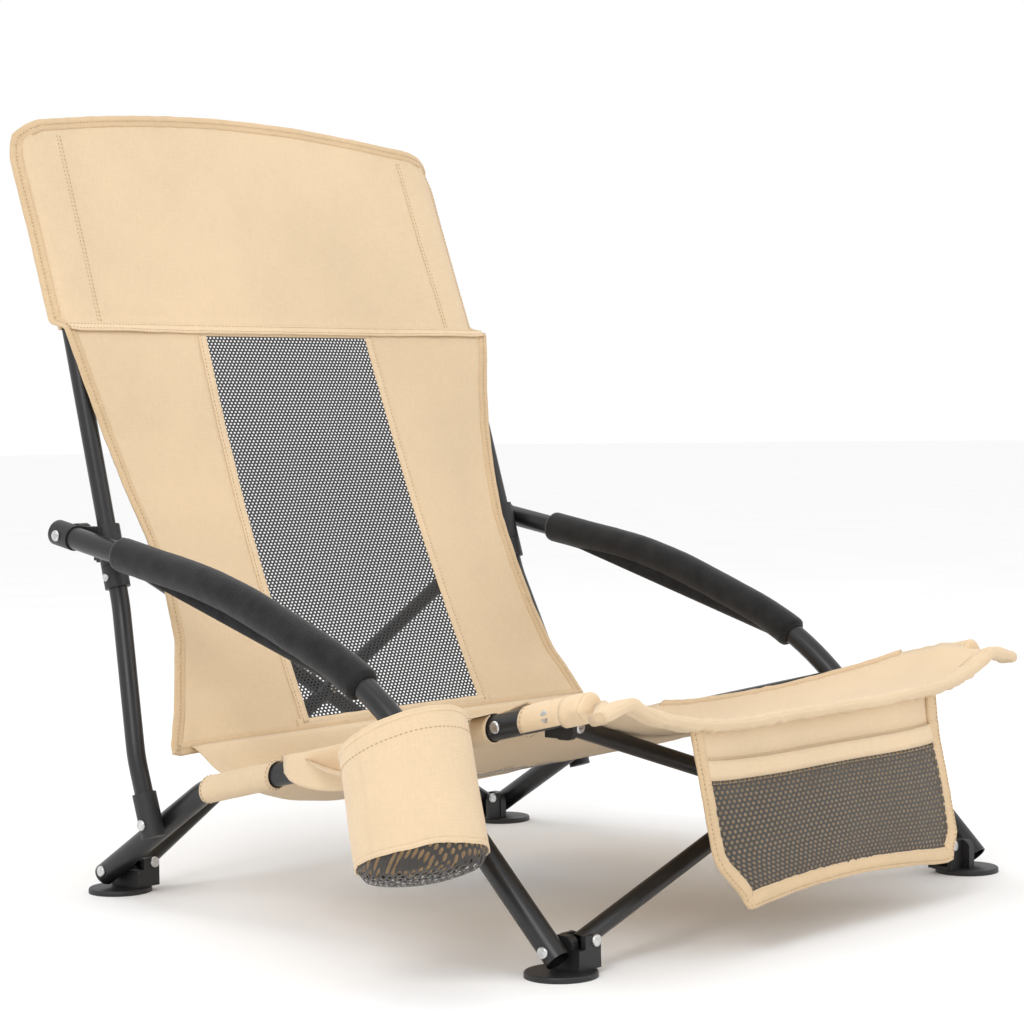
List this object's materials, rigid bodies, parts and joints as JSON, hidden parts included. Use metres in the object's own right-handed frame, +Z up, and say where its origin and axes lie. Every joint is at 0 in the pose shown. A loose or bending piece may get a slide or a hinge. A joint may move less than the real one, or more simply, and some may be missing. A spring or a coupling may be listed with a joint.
{
  "type": "folding camp chair",
  "caption": "Low folding camp chair with cloth seat and high back, curved foam-gripped arms, crossing braces, round feet, a cup holder and a front pocket.",
  "frame": {"origin": "centre of the chair's bounding box on the floor plane, cup holder included", "axes": "+Z up, the sitter faces -Y, +X is the sitter's left"},
  "size_m": [0.7995, 0.7915, 0.762],
  "materials": {
    "frame_tube": "semi-gloss powder coat",
    "foam": "soft closed-cell foam",
    "cloth": "plain woven polyester",
    "rivet": "zinc",
    "black_plastic": "moulded"
  },
  "bodies": {
    "foot_rear_right": {"foot_rear_right": "black_plastic", "foot_rivets_rear_right": "rivet"},
    "foot_rear_left": {"foot_rear_left": "black_plastic", "foot_rivets_rear_left": "rivet"},
    "foot_front_right": {"foot_front_right": "black_plastic", "foot_rivets_front_right": "rivet"},
    "foot_front_left": {"foot_front_left": "black_plastic", "foot_rivets_front_left": "rivet"},
    "rail_right": {"seat_rail_right": "frame_tube", "rail_plug_right": "black_plastic", "rail_rivets_right": "rivet", "rail_sleeves_right": "cloth", "cup_holder": "cloth", "seat_panel": "cloth", "front_pocket": "cloth"},
    "rail_left": {"seat_rail_left": "frame_tube", "rail_plug_left": "black_plastic", "rail_rivets_left": "rivet", "rail_sleeves_left": "cloth"},
    "post_right": {"back_post_right": "frame_tube", "post_cap_right": "black_plastic", "stop_collar_right": "black_plastic", "post_plug_right": "black_plastic", "post_rivets_right": "rivet", "back_panel": "cloth"},
    "post_left": {"back_post_left": "frame_tube", "post_cap_left": "black_plastic", "stop_collar_left": "black_plastic", "post_plug_left": "black_plastic", "post_rivets_left": "rivet"},
    "collar_right": {"slide_collar_right": "black_plastic"},
    "collar_left": {"slide_collar_left": "black_plastic"},
    "hub_right": {"hub_right": "black_plastic", "hub_rivets_right": "rivet"},
    "hub_left": {"hub_left": "black_plastic", "hub_rivets_left": "rivet"},
    "rear_brace_right": {"rear_brace_right": "frame_tube", "rear_cross_rivet": "rivet", "rear_top_rivet_right": "rivet"},
    "rear_brace_left": {"rear_brace_left": "frame_tube", "rear_top_rivet_left": "rivet"},
    "front_brace_right": {"front_brace_right": "frame_tube", "front_cross_rivet_right": "rivet"},
    "front_brace_left": {"front_brace_left": "frame_tube", "front_cross_rivet_left": "rivet"},
    "arm_right": {"arm_leg_right": "frame_tube", "foam_grip_right": "foam", "arm_cap_right": "black_plastic", "arm_rivet_right": "rivet"},
    "arm_left": {"arm_leg_left": "frame_tube", "foam_grip_left": "foam", "arm_cap_left": "black_plastic", "arm_rivet_left": "rivet"}
  },
  "joints": [
    {"name": "fold", "type": "hinge", "parent": "foot_rear_right", "child": "rail_right", "pos_m": [-0.22725, 0.2683, 0.022], "axis": [-1, 0, 0], "range_deg": [0, 35.3], "deforming": ["seat_panel", "back_panel", "front_pocket"]},
    {"name": "post_turn_right", "type": "hinge", "parent": "rail_right", "child": "post_right", "pos_m": [-0.25025, 0.1773, 0.0787], "axis": [1, 0, 0], "range_deg": [0, 48.19]},
    {"name": "collar_slide_right", "type": "slide", "parent": "post_right", "child": "collar_right", "axis": [0.0192, 0.2645, 0.9642], "range_m": [0, 0.1726]},
    {"name": "hub_level_right", "type": "hinge", "parent": "rail_right", "child": "hub_right", "pos_m": [-0.22725, -0.3167, 0.21208], "axis": [1, 0, 0], "range_deg": [0, 35.35]},
    {"name": "post_turn_left", "type": "hinge", "parent": "rail_left", "child": "post_left", "pos_m": [0.37175, 0.1773, 0.0787], "axis": [1, 0, 0], "range_deg": [0, 48.19]},
    {"name": "collar_slide_left", "type": "slide", "parent": "post_left", "child": "collar_left", "axis": [-0.0192, 0.2645, 0.9642], "range_m": [0, 0.1726]},
    {"name": "hub_level_left", "type": "hinge", "parent": "rail_left", "child": "hub_left", "pos_m": [0.34875, -0.3167, 0.21208], "axis": [1, 0, 0], "range_deg": [0, 35.35]},
    {"name": "rear_brace_swing", "type": "hinge", "parent": "foot_rear_right", "child": "rear_brace_right", "pos_m": [-0.19425, 0.2538, 0.028], "axis": [0, -1, 0], "range_deg": [0, 31.51]},
    {"name": "rear_brace_cross", "type": "hinge", "parent": "rear_brace_right", "child": "rear_brace_left", "pos_m": [0.06075, 0.2623, 0.17663], "axis": [0, 1, 0], "range_deg": [0, 62.96]},
    {"name": "foot_level_rear_left", "type": "hinge", "parent": "rear_brace_left", "child": "foot_rear_left", "pos_m": [0.31575, 0.2708, 0.028], "axis": [0, -1, 0], "range_deg": [0, 31.51]},
    {"name": "rail_lift_left", "type": "hinge", "parent": "foot_rear_left", "child": "rail_left", "pos_m": [0.34875, 0.2683, 0.022], "axis": [-1, 0, 0], "range_deg": [0, 35.35]},
    {"name": "front_brace_swing_left", "type": "hinge", "parent": "hub_right", "child": "front_brace_left", "pos_m": [-0.19625, -0.3092, 0.19908], "axis": [0, 1, 0], "range_deg": [0, 39.25]},
    {"name": "foot_level_front_left", "type": "hinge", "parent": "front_brace_left", "child": "foot_front_left", "pos_m": [0.34425, -0.3242, 0.028], "axis": [0, -1, 0], "range_deg": [0, 39.25]},
    {"name": "arm_raise_left", "type": "hinge", "parent": "foot_front_left", "child": "arm_left", "pos_m": [0.37725, -0.3347, 0.022], "axis": [1, 0, 0], "range_deg": [0, 26.65]},
    {"name": "front_brace_swing_right", "type": "hinge", "parent": "hub_left", "child": "front_brace_right", "pos_m": [0.31775, -0.3262, 0.19908], "axis": [0, -1, 0], "range_deg": [0, 39.25]},
    {"name": "foot_level_front_right", "type": "hinge", "parent": "front_brace_right", "child": "foot_front_right", "pos_m": [-0.22275, -0.3412, 0.028], "axis": [0, 1, 0], "range_deg": [0, 39.25]},
    {"name": "arm_raise_right", "type": "hinge", "parent": "foot_front_right", "child": "arm_right", "pos_m": [-0.25575, -0.3347, 0.022], "axis": [1, 0, 0], "range_deg": [0, 26.65]}
  ],
  "couplings": [
    {"joint": "post_turn_right", "follows": "fold", "ratio": 1.3638},
    {"joint": "collar_slide_right", "follows": "fold", "m_per_rad": 0.27985},
    {"joint": "hub_level_right", "follows": "fold", "ratio": 1},
    {"joint": "post_turn_left", "follows": "fold", "ratio": 1.3638},
    {"joint": "collar_slide_left", "follows": "fold", "m_per_rad": 0.27985},
    {"joint": "hub_level_left", "follows": "fold", "ratio": 1},
    {"joint": "rear_brace_swing", "follows": "fold", "ratio": 0.8911},
    {"joint": "rear_brace_cross", "follows": "fold", "ratio": 1.7822},
    {"joint": "foot_level_rear_left", "follows": "fold", "ratio": 0.8911},
    {"joint": "rail_lift_left", "follows": "fold", "ratio": 1},
    {"joint": "front_brace_swing_left", "follows": "fold", "ratio": 1.1105},
    {"joint": "foot_level_front_left", "follows": "fold", "ratio": 1.1105},
    {"joint": "arm_raise_left", "follows": "fold", "ratio": 0.7535},
    {"joint": "front_brace_swing_right", "follows": "fold", "ratio": 1.1105},
    {"joint": "foot_level_front_right", "follows": "fold", "ratio": 1.1105},
    {"joint": "arm_raise_right", "follows": "fold", "ratio": 0.7535}
  ]
}
